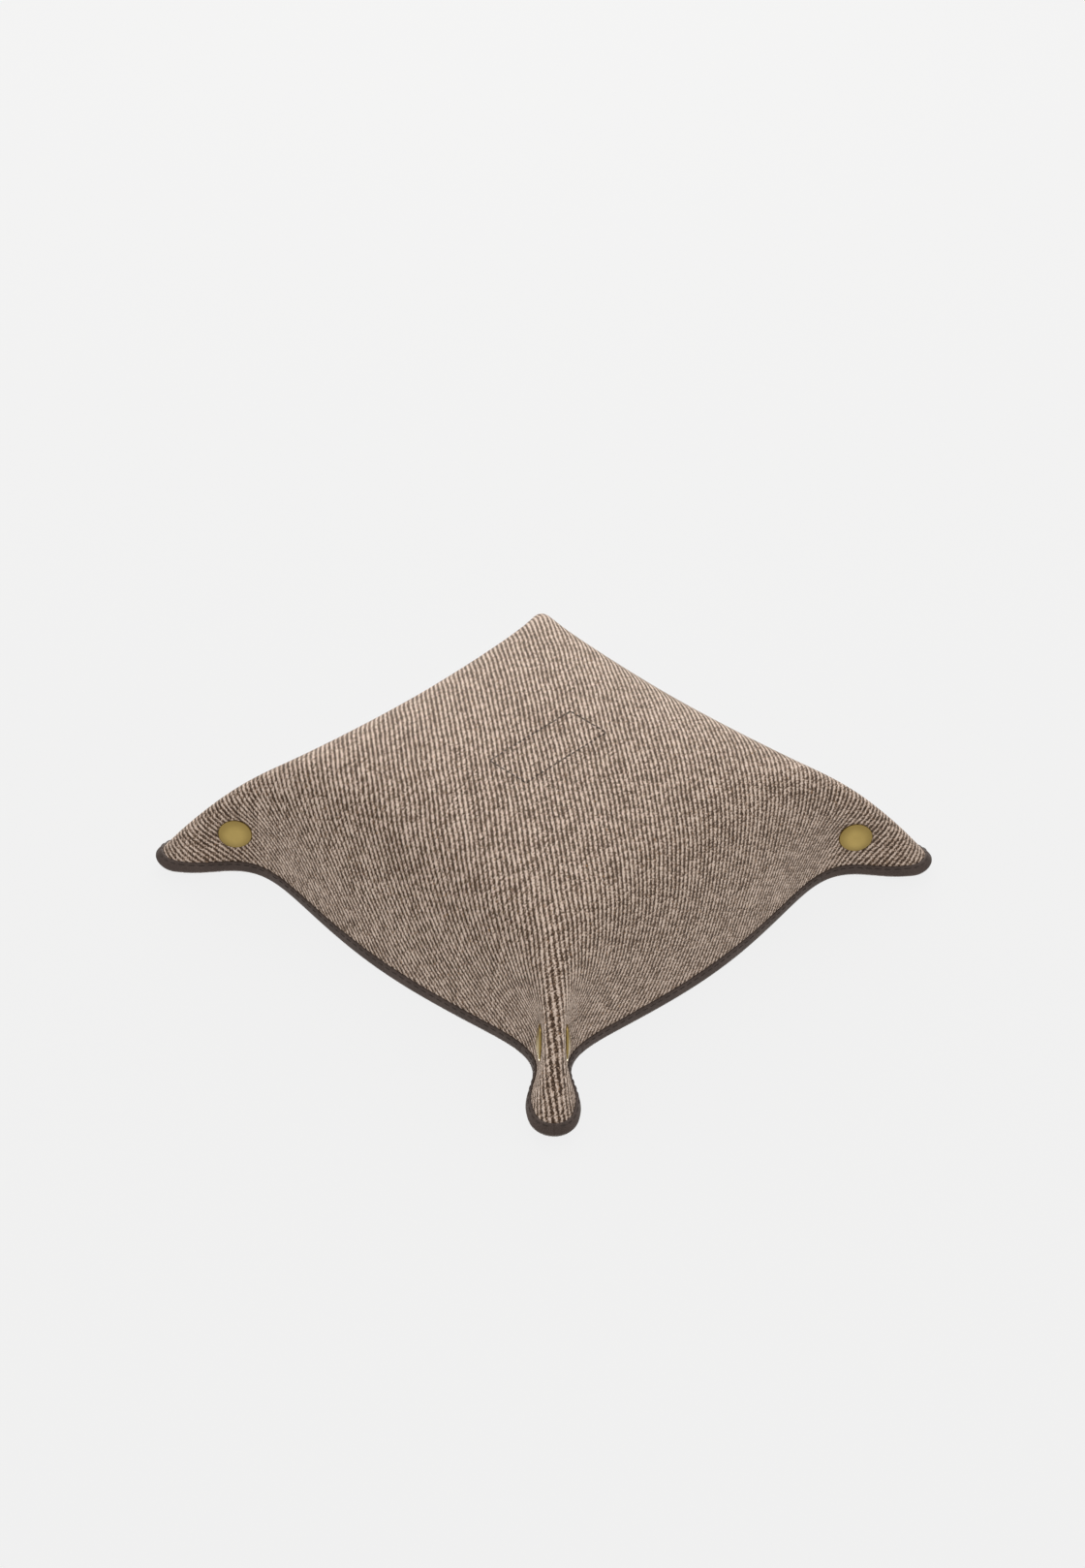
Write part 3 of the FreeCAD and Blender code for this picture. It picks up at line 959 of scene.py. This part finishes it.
def bound_edge(body, start, end, steps, side, rows):
    """A length of binding with its stitches on both faces, on half a corner, or on a wall where side is 0."""
    pieces = [strip(f"{body}_binding_strip", start, end, steps, rows)]
    for face, word in FACES:
        pieces.append(binding_stitches(f"{body}_{word}_stitches", start, end, steps, face))
    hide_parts(f"{body}_binding")
    for piece in pieces:
        if side:
            bend_with_ear(piece, steps, side)
        else:
            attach(piece, body)


for steps in range(4):
    bound_edge(wall_body(steps), -rim_cut, rim_cut, steps, side=0, rows=81)
    for side in (1, -1):
        bound_edge(ear_body(steps, side), side * rim_cut, side * rim_end, steps, side, rows=65)


# Stitched rectangle through the patch and the cloth

rectangle_length = 41.4
rectangle_width = 17.8
rectangle_pitch = 2.3
rectangle_middle = (-1.2, 1.0)
RECTANGLE_SIDES = {"back": (True, 1), "front": (True, -1), "right": (False, 1), "left": (False, -1)}


def rectangle_side(name, long_way, which, face, share=0.86, radius=0.24, sunk=0.04):
    """Stitches along one side of the rectangle, on the cloth (-1) or on the patch (1)."""
    length, apart = rectangle_length, rectangle_width
    if not long_way:
        length, apart = apart, length
    count = int(length / rectangle_pitch)
    pitch = length / count
    middles = (np.arange(count) - (count - 1) / 2) * pitch
    level = sunk if face < 0 else patch_top

    def place(along, sideways, out):
        aside = which * apart / 2 + sideways
        u, v = (along, aside) if long_way else (aside, along)
        return folded(u + rectangle_middle[0], v + rectangle_middle[1], level + out, face > 0)

    return stitch_row(name, middles, place, face, pitch * share, radius)


for face, word in FACES:
    for side, (long_way, which) in RECTANGLE_SIDES.items():
        piece = rectangle_side(f"patch_{side}_{word}_stitches", long_way, which, face)
        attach(piece, "base")


# Snaps: turned caps on the cloth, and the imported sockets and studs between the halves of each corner

snap_seat = 4.05
cap_dome_radius = 5.55
cap_dome_fall = 0.8
cap_top = 1.75
cap_edge_middle = (5.6, 0.3)
cap_edge_radius = 0.65
cap_edge_angles = (0.35, 0.5 + np.pi / 2)
CAP_UNDERSIDE = ((5.9, -0.15), (4.5, -0.2), (0.0, -0.2))


def cap(name, middle, axis, dome_points=12, edge_points=9, spokes=48):
    """Shallow domed cap with a rolled edge: a profile of radius and height turned about the snap's axis.

    The dome falls with the square of the radius, the edge is an arc, and the underside is nearly flat.
    """
    dome = np.linspace(0, cap_dome_radius, dome_points)
    edge = np.linspace(*cap_edge_angles, edge_points)
    under_radius, under_height = np.transpose(CAP_UNDERSIDE)
    radius = np.concatenate([dome, cap_edge_middle[0] + cap_edge_radius * np.sin(edge), under_radius])
    dome_height = cap_top - cap_dome_fall * (dome / cap_dome_radius) ** 2
    edge_height = cap_edge_middle[1] + cap_edge_radius * np.cos(edge)
    height = np.concatenate([dome_height, edge_height, under_height])
    around = np.arange(spokes) * np.pi / (spokes / 2)
    upright = np.array([0, 0, 1.0])
    sideways = np.cross(upright, axis)
    spoke = np.cos(around)[:, None] * sideways + np.sin(around)[:, None] * upright
    points = middle + height[:, None, None] * axis + radius[:, None, None] * spoke
    index = np.arange(len(radius) * spokes).reshape(-1, spokes)
    index[0], index[-1] = index[0, 0], index[-1, 0]
    faces = grid_faces(np.concatenate([index, index[:, :1]], 1))
    flat = np.stack(np.broadcast_arrays(radius[:, None], around), -1).reshape(-1, 2)
    return new_piece(name, points.reshape(-1, 3), faces, flat, brass)


for steps in range(4):
    following = (steps + 1) % 4
    snap_name = f"{WALLS[steps]}_{WALLS[following]}_snap"
    halves = {"socket": (1, ear_body(steps, 1)), "stud": (-1, ear_body(following, -1))}
    corners = [np.array(corner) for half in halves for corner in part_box(f"{snap_name}_{half}_cap")]
    middle = np.mean(corners, 0) / MM
    x, y = quarter(1 / root_two, -1 / root_two, steps)
    for half, (sign, body) in halves.items():
        axis = np.array([x * sign, y * sign, 0])
        piece = cap(f"{snap_name}_{half}_turned_cap", middle + snap_seat * axis, axis)
        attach(piece, body)
        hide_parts(f"{snap_name}_{half}_cap")
        kept = frame["nodes"][f"{snap_name}_{half}"].data
        kept.materials.clear()
        kept.materials.append(brass)


# Camera at the photograph's angle. The photograph shows the tray turned over, so the camera looks up from
# under the base with its top toward the floor. Its place is rightward, upward and forward of a point.

photo_right = np.array([1, 1, 0]) / root_two
photo_away = np.array([1, -1, 0]) / root_two
photo_over = np.array([0, 0, -1.0])
camera_elevation = math.radians(38.327)
camera_yaw = math.radians(2.188)
camera_roll = math.radians(1.72)
camera_from = np.array([0, 0, 49.7])
camera_place = (-1.853, 24.455, -1042.72)


def rotated(first, second, angle):
    """Two directions square to each other, turned in their own plane from the first toward the second."""
    cosine, sine = math.cos(angle), math.sin(angle)
    return cosine * first + sine * second, cosine * second - sine * first


right, away = rotated(photo_right, photo_away, -camera_yaw)
up, forward = rotated(photo_over, away, camera_elevation)
eye = camera_from + camera_place[0] * right + camera_place[1] * up + camera_place[2] * forward
right, up = rotated(right, up, camera_roll)
camera = bpy.data.objects.new("camera", bpy.data.cameras.new("camera"))
bpy.context.scene.collection.objects.link(camera)
camera.matrix_world = Matrix([*np.stack([right, up, -forward, eye * MM], 1).tolist(), (0, 0, 0, 1)])
camera.data.lens = 64.97
camera.data.sensor_width = 36.0
camera.data.clip_start = 0.01
camera.data.clip_end = 50.0
bpy.context.scene.camera = camera


# Floors, one under the upright tray and one under the turned-over tray. Each shows from its own side only.

floor_reach = 4.0
floor_gap = 0.0002


def floor_finish():
    """Pale matt floor that glows evenly, takes a little shade, and lets the eye through from behind."""
    material = bpy.data.materials.new("pale_floor")
    material.use_nodes = True
    tree = material.node_tree
    tree.nodes.remove(tree.nodes["Principled BSDF"])
    end = tree.nodes["Material Output"]
    matt = add(tree, "BsdfDiffuse", {"Color": (0.03, 0.03, 0.03, 1)}).outputs[0]
    glow = add(tree, "Emission", {"Color": (1, 1, 1, 1), "Strength": 0.84}).outputs[0]
    both = add(tree, "AddShader", {0: matt, 1: glow}).outputs[0]
    clear = add(tree, "BsdfTransparent").outputs[0]
    behind = add(tree, "NewGeometry").outputs["Backfacing"]
    tree.links.new(add(tree, "MixShader", {0: behind, 1: both, 2: clear}).outputs[0], end.inputs[0])
    return material


floor_paint = floor_finish()


def floor(name, height, facing):
    """Wide square at a height, seen by the camera only, from the side it faces."""
    corners = [(x * floor_reach, y * floor_reach, height) for x, y in ((-1, -1), (1, -1), (1, 1), (-1, 1))]
    mesh = bpy.data.meshes.new(name)
    mesh.from_pydata(corners, [], [[0, 1, 2, 3] if facing > 0 else [3, 2, 1, 0]])
    plane = bpy.data.objects.new(name, mesh)
    bpy.context.scene.collection.objects.link(plane)
    plane.visible_shadow = plane.visible_diffuse = plane.visible_glossy = False
    mesh.materials.append(floor_paint)
    plane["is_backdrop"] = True


# Soft light: a box above each way of standing, and an even room

light_colour = (1, 0.98, 0.95)
light_target = Vector((0, 0, 0.02))
turned_key_place = photo_away * 0.8 + photo_over * 0.55
upright_key_place = (0.22, -0.22, 1.1)


def soft_light(name, place, size, power):
    """Square soft box at a place, facing the tray."""
    light = bpy.data.lights.new(name, "AREA")
    light.size = size
    light.energy = power
    light.color = light_colour
    box = bpy.data.objects.new(name, light)
    bpy.context.scene.collection.objects.link(box)
    place = Vector(place)
    facing = (light_target - place).to_track_quat("-Z", "Y").to_matrix().to_4x4()
    box.matrix_world = Matrix.Translation(place) @ facing


soft_light("turned_key", turned_key_place, size=0.9, power=9.5)
soft_light("upright_key", upright_key_place, size=0.8, power=12.0)

world = bpy.data.worlds.new("even_light")
bpy.context.scene.world = world
world.use_nodes = True
room = world.node_tree.nodes["Background"].inputs
room["Color"].default_value = (1.0, 0.97, 0.93, 1)
room["Strength"].default_value = 0.88
bpy.context.scene.view_settings.view_transform = "Standard"

visual_low, visual_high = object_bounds()
floor("upright_floor", -floor_gap, 1)
floor("turned_floor", visual_high[2] + floor_gap, -1)
